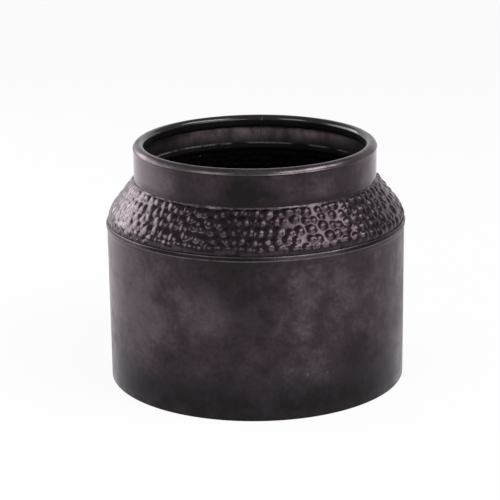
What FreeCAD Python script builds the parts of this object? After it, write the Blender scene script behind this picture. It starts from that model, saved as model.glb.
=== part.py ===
import FreeCAD, Part
import os
import Sketcher

# Metal plant pot of sheet iron: a rolled body with a recessed base, a hammered shoulder, and a neck
# whose edge is curled round a wire. The frame has +Z up and its origin in the middle of the foot.

doc = FreeCAD.newDocument("plant_pot")

# Driving sizes, in millimetres and degrees
sizes = {
    "sheet_thickness": 0.8,
    "lap_clearance": 0.1,
    "seam_gap": 1.0,
    "body_diameter": 220.0,
    "body_height": 118.5,
    "base_height": 9.0,
    "flare_depth": 0.9,
    "flare_height": 5.3,
    "lip_length": 3.6,
    "margin_lean": 17.0,
    "margin_length": 9.4,
    "knuckle_bend": 8.0,
    "shoulder_rise": 32.4,
    "collar_height": 4.0,
    "neck_diameter": 178.6,
    "neck_height": 26.1,
    "rim_wire_diameter": 7.0,
    "rim_curl": 270.0,
    "solder_leg": 1.0,
    "body_seam_turn": 12.0,
    "shoulder_seam_turn": -28.0,
    "neck_seam_turn": 3.6,
}
sheet = doc.addObject("Spreadsheet::Sheet", "Sizes")
for row, (alias, value) in enumerate(sizes.items(), start=1):
    sheet.set(f"A{row}", alias)
    sheet.set(f"B{row}", str(value))
    sheet.setAlias(f"B{row}", alias)

# Values that follow the sheet and that several pieces share
worked = doc.addObject("App::VarSet", "Worked")


def work_out(name, text, kind="App::PropertyFloat"):
    """Named value bound to the sheet, returned as the words that other expressions use for it."""
    worked.addProperty(kind, name)
    worked.setExpression(name, text)
    doc.recompute()
    return f"Worked.{name}"


def work_out_angle(name, text):
    """Named angle bound to the sheet."""
    return work_out(name, text, "App::PropertyAngle")


def number(text):
    """Value of an expression, as a plain number."""
    return FreeCAD.Units.Quantity(worked.evalExpression(text)).Value


thickness = "Sizes.sheet_thickness"
clearance = "Sizes.lap_clearance"
body_radius = work_out("body_radius", "Sizes.body_diameter / 2")
neck_radius = work_out("neck_radius", "Sizes.neck_diameter / 2")
UPRIGHT = "0 deg"
FACING_UP = "90 deg"

# The body's upper edge flares out to a crown and then leans in with the shoulder's lower margin
crown_across = work_out("crown_across", f"{body_radius} + Sizes.flare_depth")
crown_up = "Sizes.body_height"
flare_lean = work_out_angle("flare_lean", "atan2(Sizes.flare_depth; Sizes.flare_height)")
margin_lean = work_out_angle("margin_lean", "Sizes.margin_lean * 1 deg")


def from_crown(along, depth):
    """Point measured from the crown, along the leaning margin and square into the sheet."""
    across = f"({crown_across} - {along} * sin({margin_lean}) - {depth} * cos({margin_lean}))"
    up = f"({crown_up} + {along} * cos({margin_lean}) - {depth} * sin({margin_lean}))"
    return across, up


# The shoulder lies one lap inside the body's lip, and its collar one lap inside the neck
lap = work_out("lap", f"{thickness} + {clearance}")
knuckle = from_crown("Sizes.margin_length", lap)
knuckle_across = work_out("knuckle_across", knuckle[0])
knuckle_up = work_out("knuckle_up", knuckle[1])
collar_radius = work_out("collar_radius", f"{neck_radius} - {lap}")
collar_foot = work_out("collar_foot", "Sizes.body_height + Sizes.shoulder_rise")
cone_run = work_out("cone_run", f"{knuckle_across} - {collar_radius}")
cone_rise = work_out("cone_rise", f"{collar_foot} - {knuckle_up}")
cone_lean = work_out_angle("cone_lean", f"atan2({cone_run}; {cone_rise})")

# The neck stands just clear of the shoulder's bend, and its rim closes round the wire
neck_foot = work_out("neck_foot", f"{collar_foot} + {clearance}")
wire_radius = work_out("wire_radius", "Sizes.rim_wire_diameter / 2")
curl_radius = work_out("curl_radius", f"{wire_radius} + {lap}")
curl_across = work_out("curl_across", f"{neck_radius} - {curl_radius}")
curl_up = work_out("curl_up", f"{neck_foot} + Sizes.neck_height - {curl_radius}")


# A sheet is described by its outer surface, from its first edge to its last, as edges, folds and bends.
# A lean is the angle by which the outer surface's normal rises above the level.

def edge(across, up, lean):
    """Cut edge of a sheet: its point at each depth under the outer surface."""
    def points(depth):
        return [(f"({across} - {depth} * cos({lean}))", f"({up} - {depth} * sin({lean}))")]
    return points


def fold(across, up, lean_before, lean_after):
    """Sharp fold between two straight stretches: its mitred point at each depth."""
    middle_lean = f"(({lean_before} + {lean_after}) / 2)"

    def points(depth):
        reach = f"({depth} / cos(({lean_after} - {lean_before}) / 2))"
        return [(f"({across} - {reach} * cos({middle_lean}))", f"({up} - {reach} * sin({middle_lean}))")]
    return points


def curl(middle_across, middle_up, lean_before, lean_after, radius, flats):
    """Round stretch of short flats about a middle, behind an outward bend and before an inward one."""
    side = 1 if number(lean_after) > number(lean_before) else -1

    def points(depth):
        found = []
        for step in range(flats + 1):
            lean = f"({lean_before} + ({lean_after} - {lean_before}) * {step} / {flats})"
            reach = f"({side} * {radius} - {depth})"
            across = f"({middle_across} + {reach} * cos({lean}))"
            up = f"({middle_up} + {reach} * sin({lean}))"
            found.append((across, up))
        return found
    return points


def bend(across, up, lean_before, lean_after, radius, flats):
    """Bend between two straight stretches that would meet at a corner."""
    side = 1 if number(lean_after) > number(lean_before) else -1
    middle_lean = f"(({lean_before} + {lean_after}) / 2)"
    reach = f"({side} * {radius} / cos(({lean_after} - {lean_before}) / 2))"
    middle_across = f"({across} - {reach} * cos({middle_lean}))"
    middle_up = f"({up} - {reach} * sin({middle_lean}))"
    return curl(middle_across, middle_up, lean_before, lean_after, radius, flats)


def sheet_outline(stretches):
    """Corners of a sheet's section: up its outer surface and back down its inner one."""
    outer = [corner for stretch in stretches for corner in stretch("0")]
    inner = [corner for stretch in stretches for corner in stretch(thickness)]
    return outer + inner[::-1]


def new_body(label):
    """Empty body that is one sub-part."""
    body = doc.addObject("PartDesign::Body", label)
    body.Label = label
    return body


def hold(sketch, kind, name, geometry, text):
    """Hold the start of a line at a distance from the pot's axis or at a height."""
    origin, start = -1, 1
    axes = {"DistanceX": -2, "DistanceY": -1}
    value = number(text)
    if value == 0:
        sketch.addConstraint(Sketcher.Constraint("PointOnObject", geometry, start, axes[kind]))
        return
    index = sketch.addConstraint(Sketcher.Constraint(kind, origin, start, geometry, start, value))
    sketch.renameConstraint(index, name)
    sketch.setExpression(f"Constraints.{name}", text)


def section(body, name, corners):
    """Closed outline on the body's own XZ plane, each corner held by expressions."""
    plane = next(feature for feature in body.Origin.OriginFeatures if feature.Role == "XZ_Plane")
    sketch = body.newObject("Sketcher::SketchObject", name)
    sketch.AttachmentSupport = [(plane, "")]
    sketch.MapMode = "FlatFace"
    start, end = 1, 2
    places = [FreeCAD.Vector(number(across), number(up), 0) for across, up in corners]
    ends = places[1:] + places[:1]
    lines = [sketch.addGeometry(Part.LineSegment(*pair)) for pair in zip(places, ends)]
    for index, (across, up) in enumerate(corners):
        joint = Sketcher.Constraint("Coincident", lines[index - 1], end, lines[index], start)
        sketch.addConstraint(joint)
        hold(sketch, "DistanceX", f"across{index + 1}", lines[index], across)
        hold(sketch, "DistanceY", f"up{index + 1}", lines[index], up)
    doc.recompute()
    return sketch


def revolve(body, corners, angle):
    """Turn a section about the pot's axis, evenly to both sides of its plane."""
    sketch = section(body, f"{body.Label}_section", corners)
    turn = body.newObject("PartDesign::Revolution", f"{body.Label}_turn")
    turn.Profile = sketch
    turn.ReferenceAxis = (sketch, ["V_Axis"])
    turn.Midplane = True
    turn.Angle = number(angle)
    turn.setExpression("Angle", angle)
    doc.recompute()


def face_back(body, quarter, turn):
    """Turn a piece a quarter round, so that its seam is at the back, less a set angle towards +X."""
    upright = FreeCAD.Vector(0, 0, 1)
    body.Placement = FreeCAD.Placement(FreeCAD.Vector(), FreeCAD.Rotation(upright, quarter))
    body.setExpression("Placement.Rotation.Angle", f"{quarter} - {turn}")
    doc.recompute()


def seamed_ring(label, corners, weld_label, weld_corners, diameter, turn):
    """Ring rolled from a strip, with a gap at its seam, and the weld that fills the gap."""
    gap_to_back, weld_to_back = -90, 90
    gap = work_out_angle(f"{label}_gap", f"360 deg * Sizes.seam_gap / (pi * {diameter})")
    ring = new_body(label)
    revolve(ring, corners, f"360 deg - {gap}")
    face_back(ring, gap_to_back, turn)
    weld = new_body(weld_label)
    revolve(weld, weld_corners, gap)
    face_back(weld, weld_to_back, turn)
    return ring, weld


# Body wall: sheet rolled to a cylinder, standing on its cut edge, its top flared into a lip
flare_foot = "(Sizes.body_height - Sizes.flare_height)"
flare_out = f"(-{flare_lean})"
body_corners = sheet_outline([
    edge(body_radius, "0", UPRIGHT),
    fold(body_radius, flare_foot, UPRIGHT, flare_out),
    fold(crown_across, crown_up, flare_out, margin_lean),
    edge(*from_crown("Sizes.lip_length", "0"), margin_lean),
])
body_wall, body_seam_weld = seamed_ring(
    "body_wall", body_corners, "body_seam_weld", body_corners,
    "Sizes.body_diameter", "Sizes.body_seam_turn")

# Base pan: disc with its edge turned down inside the wall, level with the wall's foot
pan_radius = work_out("pan_radius", f"{body_radius} - {lap}")
pan_corners = sheet_outline([
    edge("0", "Sizes.base_height", FACING_UP),
    fold(pan_radius, "Sizes.base_height", FACING_UP, UPRIGHT),
    edge(pan_radius, "0", UPRIGHT),
])
base_pan = new_body("base_pan")
revolve(base_pan, pan_corners, "360 deg")

# Shoulder band: coned ring whose lower edge seats in the body's crown and whose top is a collar
seat = work_out("seat", f"{lap} * tan(({margin_lean} + {flare_lean}) / 2)")
collar_top = f"({collar_foot} + Sizes.collar_height)"
shoulder_corners = sheet_outline([
    edge(*from_crown(seat, lap), margin_lean),
    bend(knuckle_across, knuckle_up, margin_lean, cone_lean, "Sizes.knuckle_bend", flats=1),
    fold(collar_radius, collar_foot, cone_lean, UPRIGHT),
    edge(collar_radius, collar_top, UPRIGHT),
])
shoulder_band, shoulder_seam_weld = seamed_ring(
    "shoulder_band", shoulder_corners, "shoulder_seam_weld", shoulder_corners,
    "Sizes.body_diameter", "Sizes.shoulder_seam_turn")

# Neck band: rolled strip whose upper edge is curled inwards round the wire. Its seam is filled
# below the curl only, which leaves a notch in the rim.
rim_turn = work_out_angle("rim_turn", "Sizes.rim_curl * 1 deg")
neck_corners = sheet_outline([
    edge(neck_radius, neck_foot, UPRIGHT),
    curl(curl_across, curl_up, UPRIGHT, rim_turn, curl_radius, flats=9),
])
neck_weld_corners = sheet_outline([
    edge(neck_radius, neck_foot, UPRIGHT),
    edge(neck_radius, curl_up, UPRIGHT),
])
neck_band, neck_seam_weld = seamed_ring(
    "neck_band", neck_corners, "neck_seam_weld", neck_weld_corners,
    "Sizes.neck_diameter", "Sizes.neck_seam_turn")

# Rim wire: welded ring of round wire inside the curl, its corners in line with the curl's
wire_round = curl(curl_across, curl_up, UPRIGHT, "360 deg", wire_radius, flats=6)
wire_corners = wire_round("0")[:-1]
rim_wire = new_body("rim_wire")
revolve(rim_wire, wire_corners, "360 deg")

# Solder fillet: run of solder between the neck's outside and the shoulder's cone
solder_across = work_out("solder_across", f"{neck_radius} + Sizes.solder_leg")


def cone_height(across):
    """Height of the shoulder's outside at a distance from the axis."""
    return f"({collar_foot} - ({across} - {collar_radius}) * {cone_rise} / {cone_run})"


solder_corners = [
    (neck_radius, cone_height(neck_radius)),
    (solder_across, cone_height(solder_across)),
    (neck_radius, f"({neck_foot} + Sizes.solder_leg)"),
]
neck_solder_fillet = new_body("neck_solder_fillet")
revolve(neck_solder_fillet, solder_corners, "360 deg")

sub_parts = [
    base_pan, body_wall, body_seam_weld, shoulder_band, shoulder_seam_weld,
    neck_band, neck_seam_weld, neck_solder_fillet, rim_wire,
]

# Nothing is written unless every object solved and every piece is one sound solid
for item in doc.Objects:
    if "Invalid" in item.State or "Error" in item.State:
        raise RuntimeError(f"{item.Label} did not recompute")
for piece in sub_parts:
    if piece.Shape.isNull() or not piece.Shape.isValid() or len(piece.Shape.Solids) != 1:
        raise RuntimeError(f"{piece.Label} is not one sound solid")

os.makedirs("parts", exist_ok=True)
for piece in sub_parts:
    piece.Shape.exportStep(f"parts/{piece.Label}.step")
    box = piece.Shape.BoundBox
    print(f"{piece.Label}: {piece.Shape.Volume:.1f} mm3, {box.ZMin:.2f} to {box.ZMax:.2f} mm high")
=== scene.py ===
from math import copysign, cos, pi, radians, sin, sqrt
from random import Random

import bpy
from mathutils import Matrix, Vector, noise
from mathutils.kdtree import KDTree


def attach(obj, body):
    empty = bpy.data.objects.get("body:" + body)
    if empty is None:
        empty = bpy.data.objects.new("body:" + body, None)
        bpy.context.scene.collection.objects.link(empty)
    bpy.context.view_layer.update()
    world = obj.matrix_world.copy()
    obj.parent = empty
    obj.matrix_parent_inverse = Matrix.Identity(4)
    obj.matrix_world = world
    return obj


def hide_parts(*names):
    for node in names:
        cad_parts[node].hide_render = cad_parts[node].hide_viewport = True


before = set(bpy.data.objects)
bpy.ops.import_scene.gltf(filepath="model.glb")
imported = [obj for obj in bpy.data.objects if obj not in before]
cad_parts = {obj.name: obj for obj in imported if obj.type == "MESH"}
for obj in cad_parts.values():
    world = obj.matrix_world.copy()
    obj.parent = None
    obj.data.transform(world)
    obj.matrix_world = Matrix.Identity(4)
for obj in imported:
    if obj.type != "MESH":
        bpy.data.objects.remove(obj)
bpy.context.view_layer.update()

# Body wall: thin sheet iron rolled to a cylinder that stands on its cut edge. Its top is spun out a
# little to a crown and burnished in over the shoulder as a narrow lip, which lies lower at the left.
# Outside it has a cloudy dark patina, inside it is lacquered black.
MM = 0.001
SHEET = 0.8 * MM
SEAM_GAP = 1.0 * MM
BODY_RADIUS = 110.0 * MM
FLARE_FOOT = 112.9 * MM
FLARE_BEND = 4.5 * MM
FLARE_LEAN = radians(19.0)
CROWN_LEAN = radians(7.0)
CROWN_RISE = 2.5 * MM
CROWN_BEND = 0.6 * MM
LIP_LEAN = radians(17.0)
LIP_LENGTH = 2.3 * MM
LIP_BEND = 0.9 * MM
LIP_TURN = radians(35.0)
LIP_DROP = 1.3 * MM
LEFT_FALL = 6
BODY_SEAM_TURN = radians(12.0)
BODY_STEPS = 300
STRAIGHT_UP = radians(90.0)
BACK = radians(90.0)


def straight(section, heading, length, parts):
    """Draw the section on in a straight line."""
    across, up = section[-1]
    for part in range(1, parts + 1):
        reach = length * part / parts
        section.append((across + reach * cos(heading), up + reach * sin(heading)))


def bend(section, heading, radius, turn, parts):
    """Draw the section on round a bend, towards the axis for a positive turn, and give the new heading."""
    across, up = section[-1]
    side = copysign(radius, turn)
    middle_across = across - side * sin(heading)
    middle_up = up + side * cos(heading)
    for part in range(1, parts + 1):
        now = heading + turn * part / parts
        section.append((middle_across + side * sin(now), middle_up - side * cos(now)))
    return heading + turn


def spun_sheet(name, section, start, sweep, steps):
    """Skin swept round the pot's axis: one vertex is drawn out along the section, and the line is spun."""
    bpy.ops.object.select_all(action="DESELECT")
    bpy.ops.mesh.primitive_plane_add(size=SHEET)
    piece = bpy.context.object
    piece.name = name
    bpy.ops.object.mode_set(mode="EDIT")
    bpy.ops.mesh.select_all(action="SELECT")
    bpy.ops.mesh.merge(type="CENTER")
    pen = Vector()
    for index, (across, up) in enumerate(section):
        place = Vector((across * cos(start), across * sin(start), up))
        if index == 0:
            bpy.ops.transform.translate(value=place)
        else:
            bpy.ops.mesh.extrude_region_move(TRANSFORM_OT_translate={"value": place - pen})
        pen = place
    bpy.ops.mesh.select_all(action="SELECT")
    bpy.ops.mesh.spin(steps=steps, angle=-sweep, center=(0, 0, 0), axis=(0, 0, 1))
    bpy.ops.mesh.select_all(action="SELECT")
    bpy.ops.mesh.remove_doubles(threshold=0.001 * MM)
    bpy.ops.mesh.normals_make_consistent(inside=False)
    bpy.ops.object.mode_set(mode="OBJECT")
    return piece


def apply_modifier(piece, kind, **settings):
    """Add a modifier to a piece and apply it."""
    bpy.context.view_layer.objects.active = piece
    modifier = piece.modifiers.new(kind.lower(), kind)
    for setting, value in settings.items():
        setattr(modifier, setting, value)
    bpy.ops.object.modifier_apply(modifier=modifier.name)


def hand_worked(piece, depth, size):
    """Slight waviness of hand-worked sheet."""
    waves = bpy.data.textures.new(f"{piece.name}_waves", "CLOUDS")
    waves.noise_scale = size
    apply_modifier(piece, "DISPLACE", texture=waves, texture_coords="LOCAL", strength=depth, mid_level=0.5)


def thicken(piece):
    """Give a skin the sheet's thickness behind it, with its next finish inside and the one after on edges."""
    apply_modifier(piece, "SOLIDIFY", thickness=SHEET, offset=-1, use_even_offset=True,
                   material_offset=1, material_offset_rim=2)


def round_edges(piece):
    """Take the sharpness off a sheet's cut edges."""
    apply_modifier(piece, "BEVEL", width=0.2 * MM, segments=2, limit_method="ANGLE", angle_limit=radians(55))


def smooth(piece):
    """Smooth shading, with sharp edges kept."""
    bpy.ops.object.select_all(action="DESELECT")
    piece.select_set(True)
    bpy.context.view_layer.objects.active = piece
    bpy.ops.object.shade_smooth_by_angle(angle=radians(42))


def seam_start(turn, gap):
    """Angle of a strip's first edge, from its seam's turn away from the back towards +X."""
    return BACK - turn + gap / 2


def far_left(point):
    """One at the pot's left side, falling to none towards the front and back."""
    return max(0.0, -point.x / BODY_RADIUS) ** LEFT_FALL


def new_finish(name):
    """Material with its shader and the place on the piece that its patterns read."""
    material = bpy.data.materials.new(name)
    material.use_nodes = True
    shader = material.node_tree.nodes["Principled BSDF"]
    place = material.node_tree.nodes.new("ShaderNodeTexCoord").outputs["Object"]
    return material, shader, place


def new_node(material, kind, **values):
    """Shader node with its named inputs set, underscores standing for spaces."""
    made = material.node_tree.nodes.new(kind)
    for title, value in values.items():
        made.inputs[title.replace("_", " ")].default_value = value
    return made


def noise_at(material, place, **values):
    """Noise texture read at a place."""
    made = new_node(material, "ShaderNodeTexNoise", **values)
    material.node_tree.links.new(place, made.inputs["Vector"])
    return made


def distance_from(material, place, spot):
    """Distance of a place from a fixed spot."""
    made = material.node_tree.nodes.new("ShaderNodeVectorMath")
    made.operation = "DISTANCE"
    made.inputs[1].default_value = spot
    material.node_tree.links.new(place, made.inputs[0])
    return made.outputs["Value"]


def height_of(material, place):
    """Height of a place above the floor."""
    made = material.node_tree.nodes.new("ShaderNodeSeparateXYZ")
    material.node_tree.links.new(place, made.inputs["Vector"])
    return made.outputs["Z"]


def arithmetic(material, operation, first, second):
    """Result of a sum on two values, each a number or a varying value."""
    made = material.node_tree.nodes.new("ShaderNodeMath")
    made.operation = operation
    for socket, value in zip(made.inputs, (first, second)):
        if isinstance(value, float):
            socket.default_value = value
        else:
            material.node_tree.links.new(value, socket)
    return made.outputs["Value"]


def span(material, value, low, high, to_low, to_high):
    """Map a varying value from one range to another, clamped and eased."""
    made = new_node(material, "ShaderNodeMapRange", From_Min=low, From_Max=high,
                    To_Min=to_low, To_Max=to_high)
    made.interpolation_type = "SMOOTHSTEP"
    material.node_tree.links.new(value, made.inputs["Value"])
    return made.outputs["Result"]


def blend(material, share, first, second):
    """Two varying values mixed by a fixed share of the second."""
    made = new_node(material, "ShaderNodeMix", Factor=share)
    material.node_tree.links.new(first, made.inputs["A"])
    material.node_tree.links.new(second, made.inputs["B"])
    return made.outputs["Result"]


def mix_colour(material, amount, first, second):
    """Blend from a first colour to a second by an amount that varies."""
    made = material.node_tree.nodes.new("ShaderNodeMix")
    made.data_type = "RGBA"
    wire = material.node_tree.links.new
    wire(amount, made.inputs["Factor"])
    for title, colour in (("A", first), ("B", second)):
        socket = next(item for item in made.inputs if item.name == title and item.type == "RGBA")
        if isinstance(colour, tuple):
            socket.default_value = (*colour, 1.0)
        else:
            wire(colour, socket)
    return next(item for item in made.outputs if item.type == "RGBA")


def with_bands(material, colour, place, rubbed, bands):
    """Colour with bands of other tints between two heights, each fading out and unevenly rubbed."""
    height = height_of(material, place)
    for tint, low, high, fade, most in bands:
        rise = span(material, height, low - fade, low, 0.0, most)
        fall = span(material, height, high, high + fade, 1.0, 0.0)
        amount = arithmetic(material, "MULTIPLY", rise, fall)
        colour = mix_colour(material, arithmetic(material, "MULTIPLY", amount, rubbed), colour, tint)
    return colour


SOOT = (0.0150, 0.0142, 0.0146)
DARK_PATINA = (0.0290, 0.0222, 0.0258)
MIDDLE_PATINA = (0.0480, 0.0358, 0.0430)
PALE_PATINA = (0.1050, 0.0830, 0.0970)
BUFF_PATINA = (0.0850, 0.0720, 0.0740)
WORN_EDGE = (0.20, 0.175, 0.185)
EDGE_TINT = (0.985, 0.935, 0.975, 1.0)
PALING = ((0.18, 0.36, DARK_PATINA), (0.33, 0.54, MIDDLE_PATINA), (0.50, 0.76, PALE_PATINA))
CLOUD_SCALE = 20.0
SMUDGE_SCALE = 75.0
SMUDGE_SHARE = 0.45
SPOT_SCALE = 280.0
SPOT_SHARE = 0.08
GRAIN_SCALE = 900.0
GRAIN_DARKEST = 0.30
WANDER = 26 * MM
PATCH_CORE = 0.2


def patina(name, smoothest, roughest, bands=(), patches=(), marks=()):
    """Dark metal with a patina of clouds, smudges, spots and grain, paler where its tone is higher.

    A patch shifts the tone round a spot: shift, spot, reach. A mark lays a tint round a spot: tint, spot,
    reach, most. A band lays one between two heights: tint, low, high, fade, most.
    """
    material, shader, place = new_finish(name)
    wire = material.node_tree.links.new
    shader.inputs["Metallic"].default_value = 1.0
    shader.inputs["Specular Tint"].default_value = EDGE_TINT
    clouds = noise_at(material, place, Scale=CLOUD_SCALE, Detail=4.0, Roughness=0.55, Distortion=0.6)
    smudges = noise_at(material, place, Scale=SMUDGE_SCALE, Detail=5.0, Roughness=0.54)
    mottle = noise_at(material, place, Scale=SPOT_SCALE, Detail=3.0, Roughness=0.6)
    grain = noise_at(material, place, Scale=GRAIN_SCALE, Detail=2.0, Roughness=0.5)
    tone = blend(material, SMUDGE_SHARE, clouds.outputs["Fac"], smudges.outputs["Fac"])
    wandering = material.node_tree.nodes.new("ShaderNodeVectorMath")
    wandering.operation = "MULTIPLY_ADD"
    wandering.inputs[1].default_value = (WANDER, WANDER, WANDER)
    wire(smudges.outputs["Color"], wandering.inputs[0])
    wire(place, wandering.inputs[2])
    for shift, spot, reach in patches:
        moved_spot = [axis + WANDER / 2 for axis in spot]
        away = distance_from(material, wandering.outputs["Vector"], moved_spot)
        change = span(material, away, PATCH_CORE * reach, reach, shift, 0.0)
        tone = arithmetic(material, "ADD", tone, change)
    spots = span(material, mottle.outputs["Fac"], 0.32, 0.68, 0.0, 1.0)
    tone = blend(material, SPOT_SHARE, tone, spots)
    colour = SOOT
    for low, high, tint in PALING:
        colour = mix_colour(material, span(material, tone, low, high, 0.0, 1.0), colour, tint)
    for tint, spot, reach, most in marks:
        away = distance_from(material, place, spot)
        amount = span(material, away, PATCH_CORE * reach, reach, most, 0.0)
        colour = mix_colour(material, amount, colour, tint)
    rubbed = span(material, smudges.outputs["Fac"], 0.34, 0.58, 0.5, 1.0)
    colour = with_bands(material, colour, place, rubbed, bands)
    speck = span(material, grain.outputs["Fac"], 0.3, 0.7, 0.0, GRAIN_DARKEST)
    colour = mix_colour(material, speck, colour, DARK_PATINA)
    wire(colour, shader.inputs["Base Color"])
    wire(span(material, tone, 0.34, 0.66, roughest, smoothest), shader.inputs["Roughness"])
    bump = new_node(material, "ShaderNodeBump", Strength=0.12, Distance=0.15 * MM)
    wire(smudges.outputs["Fac"], bump.inputs["Height"])
    wire(bump.outputs["Normal"], shader.inputs["Normal"])
    return material


BLACK_LACQUER = (0.0060, 0.0055, 0.0056)
DULL_BLACK = {"shine": 0.10, "smoothest": 0.48, "roughest": 0.62}


def lacquer(name, shine, smoothest, roughest, bands=()):
    """Black lacquer, a little uneven, rubbed through in bands of height."""
    material, shader, place = new_finish(name)
    wire = material.node_tree.links.new
    shader.inputs["Specular IOR Level"].default_value = shine
    streaks = noise_at(material, place, Scale=60.0, Detail=5.0, Roughness=0.6).outputs["Fac"]
    thin = span(material, streaks, 0.40, 0.70, 0.0, 0.20)
    colour = mix_colour(material, thin, BLACK_LACQUER, DARK_PATINA)
    rubbed = span(material, streaks, 0.46, 0.62, 0.0, 1.0)
    wire(with_bands(material, colour, place, rubbed, bands), shader.inputs["Base Color"])
    wire(span(material, streaks, 0.3, 0.7, roughest, smoothest), shader.inputs["Roughness"])
    return material


def worn_metal(name, dull, bright, rub_scale):
    """Metal with its finish rubbed through in places."""
    material, shader, place = new_finish(name)
    wire = material.node_tree.links.new
    shader.inputs["Metallic"].default_value = 1.0
    shader.inputs["Specular Tint"].default_value = EDGE_TINT
    rubbing = noise_at(material, place, Scale=rub_scale, Detail=4.0, Roughness=0.6).outputs["Fac"]
    bare = span(material, rubbing, 0.38, 0.64, 0.0, 1.0)
    wire(mix_colour(material, bare, dull, bright), shader.inputs["Base Color"])
    wire(span(material, rubbing, 0.3, 0.7, 0.5, 0.3), shader.inputs["Roughness"])
    return material


def finish_with(piece, *materials):
    """Give a piece its finishes, the outside first."""
    for material in materials:
        piece.data.materials.append(material)


def wall_spot(radius, turn, height):
    """Place on a round wall, at a turn in degrees from the front towards +X."""
    return radius * sin(radians(turn)), -radius * cos(radians(turn)), height


# The two paler patches on the left of the wall are painted reflection, lighter where that side mirrors the
# lit floor.
left_painted_reflection = (0.19, wall_spot(BODY_RADIUS, -58.0, 82 * MM), 64 * MM)
high_left_painted_reflection = (0.11, wall_spot(BODY_RADIUS, -64.0, 110 * MM), 30 * MM)
middle_pale_patch = (0.17, wall_spot(BODY_RADIUS, -21.0, 77 * MM), 30 * MM)
right_pale_patch = (0.14, wall_spot(BODY_RADIUS, 28.0, 94 * MM), 44 * MM)
low_pale_patch = (0.08, wall_spot(BODY_RADIUS, 24.0, 52 * MM), 32 * MM)
dark_patch = (-0.13, wall_spot(BODY_RADIUS, -3.0, 104 * MM), 36 * MM)
low_dark_patch = (-0.08, wall_spot(BODY_RADIUS, -2.0, 62 * MM), 27 * MM)
left_dark_patch = (-0.07, wall_spot(BODY_RADIUS, -36.0, 84 * MM), 20 * MM)
# Darker patch on the right edge of the wall: painted shade, dimming what that edge reflects.
right_painted_shade = (-0.10, wall_spot(BODY_RADIUS, 82.0, 70 * MM), 54 * MM)
sooty_patch = (-0.14, wall_spot(BODY_RADIUS, 43.0, 41 * MM), 25 * MM)
# Darker towards the foot: painted shade of the shadowed floor near the contact.
foot_painted_shade = (SOOT, 0.0, 10 * MM, 34 * MM, 0.95)
# Darker over the outward-leaning flare: painted shade.
flare_painted_shade = (SOOT, 113.4 * MM, 116.9 * MM, 0.6 * MM, 0.34)
# Paler line on the crown: rubbed wear and a painted highlight.
crown_wear_and_highlight = (WORN_EDGE, 117.5 * MM, 118.0 * MM, 0.2 * MM, 0.55)
# Dark band on the lip between its edge and the crown: painted shade.
lip_painted_shade = (SOOT, 118.5 * MM, 119.8 * MM, 0.3 * MM, 0.50)
# Paler line along the lip's top edge: rubbed wear and a painted highlight.
lip_wear_and_highlight = (WORN_EDGE, 120.2 * MM, 121.2 * MM, 0.2 * MM, 0.45)
buff_stain = (BUFF_PATINA, wall_spot(BODY_RADIUS, -21.0, 77 * MM), 30 * MM, 0.32)
first_ding = (WORN_EDGE, wall_spot(BODY_RADIUS, 19.2, 32.6 * MM), 1.7 * MM, 0.45)
second_ding = (WORN_EDGE, wall_spot(BODY_RADIUS, 24.2, 29.8 * MM), 1.4 * MM, 0.35)
third_ding = (WORN_EDGE, wall_spot(BODY_RADIUS, 27.2, 31.8 * MM), 1.6 * MM, 0.35)
body_patina = patina(
    "body_patina", smoothest=0.26, roughest=0.40,
    bands=[foot_painted_shade, flare_painted_shade, crown_wear_and_highlight, lip_painted_shade, lip_wear_and_highlight],
    patches=[left_painted_reflection, high_left_painted_reflection, middle_pale_patch, right_pale_patch, low_pale_patch,
             dark_patch, low_dark_patch, left_dark_patch, right_painted_shade, sooty_patch],
    marks=[buff_stain, first_ding, second_ding, third_ding])
inside_lacquer = lacquer("inside_lacquer", **DULL_BLACK)
edge_metal = worn_metal("cut_edge_metal", MIDDLE_PATINA, WORN_EDGE, rub_scale=140.0)

body_section = [(BODY_RADIUS, 0.0)]
straight(body_section, STRAIGHT_UP, FLARE_FOOT, parts=14)
body_heading = bend(body_section, STRAIGHT_UP, FLARE_BEND, -FLARE_LEAN, parts=6)
body_heading = bend(body_section, body_heading, FLARE_BEND, FLARE_LEAN - CROWN_LEAN, parts=6)
straight(body_section, body_heading, CROWN_RISE, parts=2)
body_heading = bend(body_section, body_heading, CROWN_BEND, CROWN_LEAN + LIP_LEAN, parts=6)
lip_foot = body_section[-1][1]
straight(body_section, body_heading, LIP_LENGTH, parts=3)
bend(body_section, body_heading, LIP_BEND, LIP_TURN, parts=4)
lip_rise = body_section[-1][1] - lip_foot

body_gap = SEAM_GAP / BODY_RADIUS
body_wall = spun_sheet("body_wall_sheet", body_section, seam_start(BODY_SEAM_TURN, body_gap),
                       2 * pi - body_gap, BODY_STEPS)
finish_with(body_wall, body_patina, inside_lacquer, edge_metal)
low_lip = body_wall.vertex_groups.new(name="low_lip")
for vertex in body_wall.data.vertices:
    lip_share = max(0.0, vertex.co.z - lip_foot) / lip_rise
    low_lip.add([vertex.index], lip_share * far_left(vertex.co), "REPLACE")
apply_modifier(body_wall, "DISPLACE", vertex_group="low_lip", direction="Z",
               strength=-LIP_DROP, mid_level=0.0)
hand_worked(body_wall, depth=0.22 * MM, size=55 * MM)
thicken(body_wall)
round_edges(body_wall)
smooth(body_wall)
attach(body_wall, "root")
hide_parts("body_wall")

# Body seam: the wall's two edges are brought together at the back and closed with a run of weld, which
# is filed down almost flush and takes the same patina.
SEAM_CROWN = 0.16 * MM
RIPPLE_SIZE = 2.2 * MM
WELD_STEPS = 6


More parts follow.
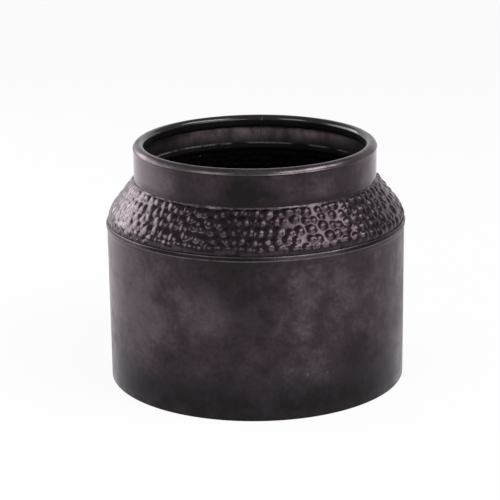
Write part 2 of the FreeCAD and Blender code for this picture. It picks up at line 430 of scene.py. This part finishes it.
def weld_run(name, section, turn, gap):
    """Run of weld along a seam: a narrow strip of the section, crowned in its middle and rippled."""
    start = BACK - turn - gap / 2
    run = spun_sheet(name, section, start, gap, WELD_STEPS)
    crown = run.vertex_groups.new(name="crown")
    middle = Vector((sin(turn), cos(turn), 0.0))
    across = middle.cross(Vector((0.0, 0.0, 1.0)))
    for vertex in run.data.vertices:
        aside = vertex.co.dot(across) / (SEAM_GAP / 2)
        crown.add([vertex.index], max(0.0, 1.0 - aside * aside), "REPLACE")
    ripples = bpy.data.textures.new(f"{name}_ripples", "CLOUDS")
    ripples.noise_scale = RIPPLE_SIZE
    apply_modifier(run, "DISPLACE", texture=ripples, texture_coords="LOCAL", vertex_group="crown",
                   strength=SEAM_CROWN, mid_level=0.0)
    return run


# Its foot is painted darker as shade, like the wall's.
seam_patina = patina("seam_patina", smoothest=0.28, roughest=0.44, bands=[foot_painted_shade])
body_seam = weld_run("body_seam_run", body_section, BODY_SEAM_TURN, body_gap)
finish_with(body_seam, seam_patina, inside_lacquer, seam_patina)
thicken(body_seam)
smooth(body_seam)
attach(body_seam, "root")
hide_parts("body_seam_weld")

# Base pan: pressed iron disc with its edge turned down, pushed up inside the wall until the edge is
# level with the wall's foot. It is lacquered black on both sides.
LAP_CLEARANCE = 0.1 * MM
PAN_RADIUS = BODY_RADIUS - SHEET - LAP_CLEARANCE
BASE_HEIGHT = 9.0 * MM
PAN_BEND = 2.0 * MM
PAN_STEPS = 180
pan_section = [(0.0, BASE_HEIGHT)]
straight(pan_section, 0.0, PAN_RADIUS - PAN_BEND, parts=14)
pan_heading = bend(pan_section, 0.0, PAN_BEND, -STRAIGHT_UP, parts=6)
straight(pan_section, pan_heading, BASE_HEIGHT - PAN_BEND, parts=3)
pan_lacquer = lacquer("pan_lacquer", **DULL_BLACK)
base_pan = spun_sheet("base_pan_sheet", pan_section, 0.0, 2 * pi, PAN_STEPS)
finish_with(base_pan, pan_lacquer, pan_lacquer, edge_metal)
thicken(base_pan)
round_edges(base_pan)
smooth(base_pan)
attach(base_pan, "root")
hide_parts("base_pan")

# Shoulder band: coned ring of the same sheet. Its lower margin sits inside the body's lip, its top is
# a short collar inside the neck, and the cone between is raised all over with a small ball hammer.
MARGIN_FOOT = (109.55 * MM, 118.7 * MM)
MARGIN_LEAN = radians(14.0)
MARGIN_LENGTH = 8.1 * MM
MARGIN_HIDDEN = 0.8 * MM
KNUCKLE_BEND = 8.0 * MM
CONE_LEAN = radians(38.5)
CONE_LENGTH = 30.72 * MM
CONE_MIDDLE = 100 * MM
COLLAR_BEND = 0.9 * MM
COLLAR_HEIGHT = 4.0 * MM
SHOULDER_STEPS = 720
SHOULDER_TURN = radians(-28.0)
ROW_SPACING = 0.75 * MM

knuckle_cut = KNUCKLE_BEND * 0.5 * (CONE_LEAN - MARGIN_LEAN)
collar_cut = COLLAR_BEND * 0.5 * CONE_LEAN
shoulder_section = [MARGIN_FOOT]
shoulder_heading = STRAIGHT_UP + MARGIN_LEAN
straight(shoulder_section, shoulder_heading, MARGIN_HIDDEN, parts=1)
margin_left = MARGIN_LENGTH - MARGIN_HIDDEN - knuckle_cut
straight(shoulder_section, shoulder_heading, margin_left, parts=round(margin_left / ROW_SPACING))
knuckle_length = KNUCKLE_BEND * (CONE_LEAN - MARGIN_LEAN)
shoulder_heading = bend(shoulder_section, shoulder_heading, KNUCKLE_BEND, CONE_LEAN - MARGIN_LEAN,
                        parts=round(knuckle_length / ROW_SPACING))
cone_left = CONE_LENGTH - knuckle_cut - collar_cut
straight(shoulder_section, shoulder_heading, cone_left, parts=round(cone_left / ROW_SPACING))
shoulder_heading = bend(shoulder_section, shoulder_heading, COLLAR_BEND, -CONE_LEAN, parts=3)
straight(shoulder_section, shoulder_heading, COLLAR_HEIGHT - collar_cut, parts=3)

shoulder_gap = SEAM_GAP / BODY_RADIUS
shoulder = spun_sheet("shoulder_band_sheet", shoulder_section, seam_start(SHOULDER_TURN, shoulder_gap),
                      2 * pi - shoulder_gap, SHOULDER_STEPS)

BLOWS_ROUND = 81
BLOW_ROW = 6.95 * MM
FIRST_ROW = 5.9 * MM
BLOW_ROWS = 5
BLOW_JITTER = 0.24
LOW_ROW = 2.4 * MM
LOW_ROW_JITTER = 1.0 * MM
LOW_ROW_FROM = 0.12
SMALLEST_BLOW = 3.0 * MM
LARGEST_BLOW = 4.9 * MM
LONGEST_BLOW = 1.2
BLOW_SPREAD = (1.06, 1.30)
BLOW_RISE = 0.30
RISE_SPREAD = (0.8, 1.15)
DOUBLE_BLOWS = 0.10
DOUBLE_APART = 1.1
DOUBLE_REACH = 0.85
DOUBLE_RISE = 0.9
LEFT_BROADER = 0.20
LEFT_LIGHTER = 0.6
LIGHTER_FALL = 4
UNEVEN = 0.05 * MM
UNEVEN_SIZE = 6.0 * MM
PLAIN_BELOW = 120.5 * MM
PLAIN_ABOVE = 149.2 * MM
PLAIN_FADE = 0.9 * MM
hand = Random(23)
low_hand = Random(5)


def along(section, length):
    """Point of a section at a length from its start."""
    for (across, up), (next_across, next_up) in zip(section[:-1], section[1:]):
        step = Vector((next_across - across, next_up - up))
        if length <= step.length:
            share = length / step.length
            return across + step.x * share, up + step.y * share
        length -= step.length
    return section[-1]


def blow_place(length, angle):
    """Place on the shoulder at a length up its section and an angle round it."""
    across, up = along(shoulder_section, length)
    return Vector((across * cos(angle), across * sin(angle), up))


def any_way():
    """Direction that the hand happens to take."""
    return Vector([hand.uniform(-1.0, 1.0) for axis in range(3)]).normalized()


# Rows of blows go all round, and a low one only at the left, where the lip leaves room for it
blows = []
for row in range(BLOW_ROWS):
    row_length = FIRST_ROW + row * BLOW_ROW
    for blow in range(BLOWS_ROUND):
        length = row_length + BLOW_ROW * hand.uniform(-BLOW_JITTER, BLOW_JITTER)
        turn = blow + row / 2 + hand.uniform(-BLOW_JITTER, BLOW_JITTER)
        blows.append(blow_place(length, 2 * pi * turn / BLOWS_ROUND))
for blow in range(BLOWS_ROUND):
    length = LOW_ROW + low_hand.uniform(-1.0, 1.0) * LOW_ROW_JITTER
    place = blow_place(length, 2 * pi * (blow + 0.5) / BLOWS_ROUND)
    if far_left(place) > LOW_ROW_FROM:
        blows.append(place)

# Each blow raises a dome about as wide as the room beside it, and some have a second dome close by
near = KDTree(len(blows))
for index, place in enumerate(blows):
    near.insert(place, index)
near.balance()
domes = []
for place in blows:
    gap_to_next = near.find_n(place, 2)[1][2]
    left_share = max(0.0, -place.x / BODY_RADIUS)
    reach = 0.5 * gap_to_next * hand.uniform(*BLOW_SPREAD) * (1.0 + LEFT_BROADER * left_share)
    reach = min(LARGEST_BLOW, max(SMALLEST_BLOW, reach))
    rise = reach * BLOW_RISE * hand.uniform(*RISE_SPREAD) * (1.0 - LEFT_LIGHTER * left_share ** LIGHTER_FALL)
    longer = hand.uniform(1.0, LONGEST_BLOW)
    lie = any_way() * sqrt(1.0 - 1.0 / longer ** 2)
    domes.append((place, reach, rise, lie))
    if hand.random() < DOUBLE_BLOWS:
        beside = any_way() * reach * DOUBLE_APART
        domes.append((place + beside, reach * DOUBLE_REACH, rise * DOUBLE_RISE, lie))

dome_tree = KDTree(len(domes))
for index, (place, reach, rise, lie) in enumerate(domes):
    dome_tree.insert(place, index)
dome_tree.balance()
HIGHEST = LARGEST_BLOW * BLOW_RISE * RISE_SPREAD[1] + 2 * UNEVEN


def hammered_height(point):
    """How far the hammered sheet stands over the plain cone at a point."""
    height = 0.0
    for place, index, distance in dome_tree.find_range(point, LARGEST_BLOW * LONGEST_BLOW):
        reach, rise, lie = domes[index][1:]
        off = point - place
        share = (off.length_squared - off.dot(lie) ** 2) / reach ** 2
        height = max(height, rise * (1.0 - share))
    height += UNEVEN * (1.0 + noise.noise(point / UNEVEN_SIZE))
    plain_below = PLAIN_BELOW - LIP_DROP * far_left(point)
    inside_edges = min(point.z - plain_below, PLAIN_ABOVE - point.z) / PLAIN_FADE
    return height * min(1.0, max(0.0, inside_edges))


def hammer(piece):
    """Raise the domes of the hammer blows on a piece of the shoulder."""
    raised = piece.vertex_groups.new(name="raised")
    for vertex in piece.data.vertices:
        raised.add([vertex.index], hammered_height(vertex.co) / HIGHEST, "REPLACE")
    apply_modifier(piece, "DISPLACE", vertex_group="raised", strength=HIGHEST, mid_level=0.0)
    apply_modifier(piece, "SMOOTH", factor=0.4, iterations=1, vertex_group="raised")


hammer(shoulder)
# Darker where the margin goes in under the lip: painted shade in the joint.
joint_painted_shade = (SOOT, 119.0 * MM, 121.0 * MM, 1.8 * MM, 0.60)
# Paler over the cone's left side: painted sheen where that side is lit.
left_painted_sheen = (WORN_EDGE, wall_spot(CONE_MIDDLE, -78.0, 136 * MM), 72 * MM, 0.34)
hammered_patina = patina("hammered_patina", smoothest=0.21, roughest=0.33, bands=[joint_painted_shade],
                         marks=[left_painted_sheen])
# Bright uneven line at the collar's top and cut edge: a painted highlight along the edge, unevenly rubbed.
COLLAR_HIGHLIGHT = (0.15, 0.13, 0.135)
collar_painted_highlight = (COLLAR_HIGHLIGHT, 153.7 * MM, 155.0 * MM, 0.3 * MM, 0.8)
collar_lacquer = lacquer("collar_lacquer", bands=[collar_painted_highlight], **DULL_BLACK)
collar_edge = worn_metal("collar_edge_metal", BLACK_LACQUER, COLLAR_HIGHLIGHT, rub_scale=45.0)
INSIDE, CUT_EDGE = 1, 2
finish_with(shoulder, hammered_patina, collar_lacquer, collar_edge)
thicken(shoulder)

# The margin's lower edge is lacquered with the inside
for face in shoulder.data.polygons:
    if face.material_index == CUT_EDGE and face.center.z < PLAIN_ABOVE:
        face.material_index = INSIDE
round_edges(shoulder)
smooth(shoulder)
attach(shoulder, "root")
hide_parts("shoulder_band")

# Shoulder seam: the cone's two edges are closed with a run of weld like the body's, which is hammered
# over with the rest of the cone.
shoulder_seam = weld_run("shoulder_seam_run", shoulder_section, SHOULDER_TURN, shoulder_gap)
hammer(shoulder_seam)
finish_with(shoulder_seam, seam_patina, inside_lacquer, seam_patina)
thicken(shoulder_seam)
smooth(shoulder_seam)
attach(shoulder_seam, "root")
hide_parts("shoulder_seam_weld")

# Neck band: smooth rolled strip slipped over the collar. Its upper edge is curled inwards round a wire
# to make the thick rim. A fine step marks where the curl starts, handling has worn the rim's outside
# paler, and its inside is lacquered a glossy black.
NECK_RADIUS = 89.3 * MM
NECK_FOOT = 150.0 * MM
RIM_TOP = 176.95 * MM
OUTER_CURL = 4.9 * MM
INNER_CURL = 3.7 * MM
INNER_DROP = 2.2 * MM
QUARTER_TURN = radians(90.0)
STEP_BEND = 0.35 * MM
STEP_TURN = radians(60.0)
FACE_LEAN = radians(20.0)
FACE_LENGTH = 0.4 * MM
LACQUER_PAST_CREST = 0.15 * MM
NECK_SEAM_TURN = radians(3.6)
NECK_SEAM_GAP = 0.35 * SEAM_GAP
NECK_STEPS = 300
step_rise = STEP_BEND * (2 * sin(STEP_TURN) + sin(FACE_LEAN))
face_rise = FACE_LENGTH * cos(FACE_LEAN) + OUTER_CURL * (1.0 - sin(FACE_LEAN))
wall_top = RIM_TOP - face_rise - step_rise
neck_section = [(NECK_RADIUS, NECK_FOOT)]
straight(neck_section, STRAIGHT_UP, wall_top - NECK_FOOT, parts=8)
neck_heading = bend(neck_section, STRAIGHT_UP, STEP_BEND, -STEP_TURN, parts=4)
neck_heading = bend(neck_section, neck_heading, STEP_BEND, STEP_TURN + FACE_LEAN, parts=5)
straight(neck_section, neck_heading, FACE_LENGTH, parts=2)
neck_heading = bend(neck_section, neck_heading, OUTER_CURL, QUARTER_TURN - FACE_LEAN, parts=12)
crest = neck_section[-1][0]
neck_heading = bend(neck_section, neck_heading, INNER_CURL, QUARTER_TURN, parts=14)
straight(neck_section, neck_heading, INNER_DROP, parts=2)
bend(neck_section, neck_heading, INNER_CURL, QUARTER_TURN, parts=12)
neck_gap = NECK_SEAM_GAP / NECK_RADIUS
neck = spun_sheet("neck_band_sheet", neck_section, seam_start(NECK_SEAM_TURN, neck_gap),
                  2 * pi - neck_gap, NECK_STEPS)

pale_side = (0.11, wall_spot(NECK_RADIUS, 29.0, 163 * MM), 24 * MM)
# Paler on the neck's left: painted reflection where that side mirrors the lit floor.
left_neck_painted_reflection = (0.40, wall_spot(NECK_RADIUS, -74.0, 164 * MM), 72 * MM)
# Paler on the neck's right edge: painted reflection.
right_neck_painted_reflection = (0.20, wall_spot(NECK_RADIUS, 78.0, 164 * MM), 52 * MM)
dark_front = (-0.05, wall_spot(NECK_RADIUS, -3.0, 157 * MM), 30 * MM)
dark_foot = (-0.18, wall_spot(NECK_RADIUS, -6.0, 150 * MM), 28 * MM)
dark_top = (-0.22, wall_spot(NECK_RADIUS, -4.0, 171 * MM), 24 * MM)
# Paler again over the neck's left: painted sheen.
left_neck_painted_sheen = (WORN_EDGE, wall_spot(NECK_RADIUS, -78.0, 163 * MM), 70 * MM, 0.80)
# Darker at the neck's foot, down against the cone: painted shade.
neck_foot_painted_shade = (SOOT, NECK_FOOT, 151 * MM, 6 * MM, 0.65)
# Dark line in the step under the curl: painted shade.
step_painted_shade = (SOOT, wall_top, wall_top + 0.3 * MM, 0.4 * MM, 0.95)
neck_patina = patina(
    "neck_patina", smoothest=0.16, roughest=0.28, bands=[neck_foot_painted_shade, step_painted_shade],
    patches=[pale_side, left_neck_painted_reflection, right_neck_painted_reflection, dark_front, dark_foot, dark_top], marks=[left_neck_painted_sheen])
rim_wear = (WORN_EDGE, wall_top, 178 * MM, 0.5 * MM, 0.40)
# Paler line along the curl's lower edge: rubbed wear and a painted highlight.
rim_edge_wear_and_highlight = (WORN_EDGE, wall_top + 0.3 * MM, wall_top + 1.0 * MM, 0.3 * MM, 0.50)
# Paler rim at the front: painted reflection.
front_painted_reflection = (0.14, wall_spot(NECK_RADIUS, 8.0, 175 * MM), 66 * MM)
rim_patina = patina("rim_patina", smoothest=0.25, roughest=0.40,
                    bands=[rim_wear, rim_edge_wear_and_highlight, step_painted_shade], patches=[front_painted_reflection])
rim_lacquer = lacquer("rim_lacquer", shine=0.5, smoothest=0.14, roughest=0.22)
NECK_INSIDE_DARK = (0.146, 0.109, 0.123)
NECK_INSIDE_PALE = (0.530, 0.420, 0.475)
RUN_SCALE = 70.0
RUN_STRETCH = (1.0, 1.0, 0.55)
# The inner neck is painted lit round one spot at the back near the rim, and painted dark as shade away from
# it and low down.
PAINTED_LIGHT_SPOT = wall_spot(NECK_RADIUS, 176.0, 172 * MM)
PAINTED_LIGHT_CORE = 0.35
PAINTED_LIGHT_REACH = 92 * MM
PAINTED_SHADE_FOOT = 154 * MM
PAINTED_SHADE_TOP = 172 * MM


def dull_patina(name, dark, pale):
    """Brushed-on patina with runs, painted lit round one spot near the rim and painted as shade away from it
    and low down.
    """
    material, shader, place = new_finish(name)
    wire = material.node_tree.links.new
    shader.inputs["Specular IOR Level"].default_value = 0.2
    drawn_down = material.node_tree.nodes.new("ShaderNodeVectorMath")
    drawn_down.operation = "MULTIPLY"
    drawn_down.inputs[1].default_value = RUN_STRETCH
    wire(place, drawn_down.inputs[0])
    runs = noise_at(material, drawn_down.outputs["Vector"], Scale=RUN_SCALE, Detail=5.0,
                    Roughness=0.58).outputs["Fac"]
    colour = mix_colour(material, span(material, runs, 0.34, 0.68, 0.0, 1.0), dark, pale)
    away = distance_from(material, place, PAINTED_LIGHT_SPOT)
    shaded_away = span(material, away, PAINTED_LIGHT_CORE * PAINTED_LIGHT_REACH, PAINTED_LIGHT_REACH, 0.0, 0.93)
    colour = mix_colour(material, shaded_away, colour, BLACK_LACQUER)
    # Painted shade: darker towards the collar.
    shaded_low = span(material, height_of(material, place), PAINTED_SHADE_FOOT, PAINTED_SHADE_TOP, 0.95, 0.0)
    colour = mix_colour(material, shaded_low, colour, BLACK_LACQUER)
    wire(colour, shader.inputs["Base Color"])
    wire(span(material, runs, 0.3, 0.7, 0.56, 0.42), shader.inputs["Roughness"])
    return material


inside_patina = dull_patina("neck_inside_patina", NECK_INSIDE_DARK, NECK_INSIDE_PALE)
RIM_OUTSIDE, RIM_INSIDE = 3, 4
finish_with(neck, neck_patina, inside_patina, inside_patina, rim_patina, rim_lacquer, inside_lacquer)
for face in neck.data.polygons:
    if face.center.z > wall_top + STEP_BEND * sin(STEP_TURN):
        face.material_index = RIM_OUTSIDE
    if face.center.xy.length < crest + LACQUER_PAST_CREST:
        face.material_index = RIM_INSIDE
hand_worked(neck, depth=0.16 * MM, size=45 * MM)
thicken(neck)
round_edges(neck)
smooth(neck)
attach(neck, "root")
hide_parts("neck_band")

# Neck seam: the strip's two edges almost meet at the back and are closed with weld, below the curl only,
# so the rim keeps a small notch.
neck_wall = [(NECK_RADIUS, NECK_FOOT)]
straight(neck_wall, STRAIGHT_UP, wall_top - NECK_FOOT, parts=12)
neck_seam = weld_run("neck_seam_run", neck_wall, NECK_SEAM_TURN, neck_gap)
finish_with(neck_seam, seam_patina, inside_patina, seam_patina)
thicken(neck_seam)
smooth(neck_seam)
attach(neck_seam, "root")
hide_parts("neck_seam_weld")

# Rim wire: ring of drawn steel wire that the neck's upper edge is curled round. It lies inside the curl,
# and is seen only through the notch.
wire_metal = worn_metal("rim_wire_metal", MIDDLE_PATINA, WORN_EDGE, rub_scale=140.0)
rim_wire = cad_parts["rim_wire"]
rim_wire.data.materials.clear()
rim_wire.data.materials.append(wire_metal)

# Solder fillet: run of soft solder where the neck stands on the cone. It was wiped by hand, so its lower
# edge wanders, and rubbing has left it brighter than the sheet.
SOLDER_FOOT = (90.80 * MM, 147.7 * MM)
SOLDER_TOP = (89.31 * MM, 150.2 * MM)
SOLDER_ROOT = (88.95 * MM, 149.4 * MM)
SOLDER_HOLLOW = 0.12 * MM
SOLDER_PARTS = 6
SOLDER_WANDER = 0.35 * MM
SOLDER_BRIGHT = (0.120, 0.102, 0.110)
SOLDER_STEPS = 420
solder_section = [SOLDER_FOOT]
for part in range(1, SOLDER_PARTS):
    share = part / SOLDER_PARTS
    hollow = SOLDER_HOLLOW * sin(pi * share)
    solder_section.append((SOLDER_FOOT[0] + (SOLDER_TOP[0] - SOLDER_FOOT[0]) * share - hollow,
                           SOLDER_FOOT[1] + (SOLDER_TOP[1] - SOLDER_FOOT[1]) * share - hollow))
solder_section += [SOLDER_TOP, SOLDER_ROOT, SOLDER_FOOT]
solder = spun_sheet("neck_solder_run", solder_section, 0.0, 2 * pi, SOLDER_STEPS)
wander = bpy.data.textures.new("solder_wander", "CLOUDS")
wander.noise_scale = 4 * MM
apply_modifier(solder, "DISPLACE", texture=wander, texture_coords="LOCAL",
               strength=SOLDER_WANDER, mid_level=0.5)
solder_metal = worn_metal("solder_metal", DARK_PATINA, SOLDER_BRIGHT, rub_scale=120.0)
finish_with(solder, solder_metal)
smooth(solder)
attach(solder, "root")
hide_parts("neck_solder_fillet")

# Floor: plain pale ground that keeps a soft shadow. Most of what the camera and reflections see of it is
# an even white.
FLOOR_SIZE = 16.0
FLOOR_PALE = (0.85, 0.85, 0.85, 1.0)
FLOOR_LIFT = 0.93
bpy.ops.object.select_all(action="DESELECT")
bpy.ops.mesh.primitive_plane_add(size=FLOOR_SIZE)
floor = bpy.context.object
floor.name = "floor"
floor_white = bpy.data.materials.new("floor_white")
floor_white.use_nodes = True
floor_nodes = floor_white.node_tree.nodes
floor_wire = floor_white.node_tree.links.new
floor_shader = floor_nodes["Principled BSDF"]
floor_shader.inputs["Base Color"].default_value = FLOOR_PALE
floor_shader.inputs["Roughness"].default_value = 0.9
floor_glow = new_node(floor_white, "ShaderNodeEmission", Color=(1.0, 1.0, 1.0, 1.0), Strength=1.0)
rays = floor_nodes.new("ShaderNodeLightPath").outputs
seen_rays = arithmetic(floor_white, "MAXIMUM", rays["Is Camera Ray"], rays["Is Glossy Ray"])
seen_rays = arithmetic(floor_white, "MAXIMUM", seen_rays, rays["Is Transmission Ray"])
floor_mix = floor_nodes.new("ShaderNodeMixShader")
floor_wire(arithmetic(floor_white, "MULTIPLY", seen_rays, FLOOR_LIFT), floor_mix.inputs["Fac"])
floor_wire(floor_shader.outputs["BSDF"], floor_mix.inputs[1])
floor_wire(floor_glow.outputs["Emission"], floor_mix.inputs[2])
floor_wire(floor_mix.outputs["Shader"], floor_nodes["Material Output"].inputs["Surface"])
floor.data.materials.append(floor_white)

# Backdrop: low wide wall a good way behind the pot. It is as white as the floor, so that the two run
# into one another.
BACKDROP_PLACE = (0.0, 2.3, 0.8)
BACKDROP_WIDTH = 8.0
BACKDROP_HEIGHT_SHARE = 0.2
bpy.ops.object.select_all(action="DESELECT")
bpy.ops.mesh.primitive_plane_add(size=BACKDROP_WIDTH, location=BACKDROP_PLACE,
                                 rotation=(radians(90.0), 0.0, 0.0))
backdrop = bpy.context.object
backdrop.name = "backdrop"
backdrop.scale.y = BACKDROP_HEIGHT_SHARE
backdrop.data.materials.append(floor_white)

# Studio light: a plain grey room with soft lights: a low one on the left, a high one on the right, a long
# narrow one in front to the right, and a smaller high one in front to the left.
ROOM_GREY = (0.32, 0.32, 0.32, 1.0)
LIGHT_AIM = Vector((0.0, 0.0, 0.1))
room = bpy.data.worlds.new("room")
room.use_nodes = True
room.node_tree.nodes["Background"].inputs["Color"].default_value = ROOM_GREY
bpy.context.scene.world = room


def soft_light(name, place, width, height, power):
    """Rectangular soft light that faces the pot."""
    bpy.ops.object.light_add(type="AREA", location=place)
    lamp = bpy.context.object
    lamp.name = name
    lamp.rotation_euler = (LIGHT_AIM - Vector(place)).to_track_quat("-Z", "Y").to_euler()
    lamp.data.shape = "RECTANGLE"
    lamp.data.size = width
    lamp.data.size_y = height
    lamp.data.energy = power


soft_light("left_light", (-0.87, 0.40, 0.46), width=0.95, height=0.45, power=5.4)
soft_light("right_light", (0.79, -0.37, 1.09), width=1.10, height=0.42, power=11.0)
soft_light("front_light", (0.81, -1.04, 0.62), width=1.40, height=0.27, power=5.2)
soft_light("left_front_light", (-0.95, -0.95, 1.00), width=0.7, height=0.6, power=4.9)

# Camera: a long lens a little above the pot and almost straight in front of it, at the photograph's
# angle.
CAMERA_PLACE = (0.01070, -1.31801, 0.49286)
CAMERA_TURN = (radians(73.1135), radians(0.7027), radians(0.4469))
CAMERA_LENS = 132.789
SENSOR_WIDTH = 36.0
bpy.ops.object.camera_add(location=CAMERA_PLACE)
camera = bpy.context.object
camera.rotation_euler = CAMERA_TURN
camera.data.sensor_width = SENSOR_WIDTH
camera.data.lens = CAMERA_LENS
bpy.context.scene.camera = camera
bpy.context.scene.view_settings.view_transform = "Standard"
